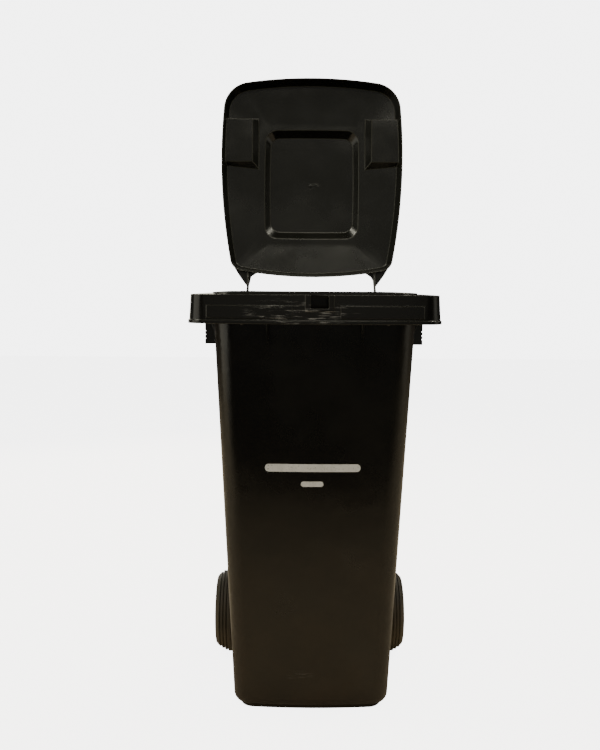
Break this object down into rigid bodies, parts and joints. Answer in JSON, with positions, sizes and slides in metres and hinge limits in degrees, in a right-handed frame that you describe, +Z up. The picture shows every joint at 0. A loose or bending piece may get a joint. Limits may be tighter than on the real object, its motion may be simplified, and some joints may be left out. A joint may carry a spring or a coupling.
{
  "type": "wheelie bin",
  "caption": "Tapered two-wheeled refuse bin with a drop rim, rear handle bar and a hinged lid that stands open above the mouth.",
  "frame": {"origin": "on the floor, under the middle of the bin with its lid standing open", "axes": "+Z up, -Y towards the front comb, +X to the right seen from the front, along the axle"},
  "size_m": [0.4934, 0.6409, 1.4171],
  "materials": {
    "tub_plastic": "satin moulded polyethylene",
    "lid_plastic": "satin moulded polyethylene",
    "wheel_plastic": "satin",
    "pin_plastic": "satin",
    "washer_plastic": "smooth",
    "tyre_rubber": "matte rubber",
    "axle_steel": "drawn, zinc plated",
    "spring_steel": "plain wire"
  },
  "bodies": {
    "bin": {"container": "tub_plastic", "axle": "axle_steel", "left_hinge_pin": "pin_plastic", "left_axle_spacer": "pin_plastic", "left_thrust_washer": "washer_plastic", "right_hinge_pin": "pin_plastic", "right_axle_spacer": "pin_plastic", "right_thrust_washer": "washer_plastic"},
    "lid": {"lid": "lid_plastic"},
    "left_wheel": {"left_tyre": "tyre_rubber", "left_wheel_rim": "wheel_plastic", "left_wheel_bush": "washer_plastic", "left_lock_pin": "axle_steel", "left_lock_spring": "spring_steel", "left_hub_cap": "wheel_plastic"},
    "right_wheel": {"right_tyre": "tyre_rubber", "right_wheel_rim": "wheel_plastic", "right_wheel_bush": "washer_plastic", "right_lock_pin": "axle_steel", "right_lock_spring": "spring_steel", "right_hub_cap": "wheel_plastic"}
  },
  "joints": [
    {"name": "lid_hinge", "type": "hinge", "parent": "bin", "child": "lid", "pos_m": [0, 0.2095, 0.8724], "axis": [-1, 0, 0], "range_deg": [-96.2, 165]},
    {"name": "left_wheel_spin", "type": "hinge", "parent": "bin", "child": "left_wheel", "pos_m": [0, 0.1244, 0.1], "axis": [1, 0, 0], "continuous": true},
    {"name": "right_wheel_spin", "type": "hinge", "parent": "bin", "child": "right_wheel", "pos_m": [0, 0.1244, 0.1], "axis": [1, 0, 0], "continuous": true}
  ]
}
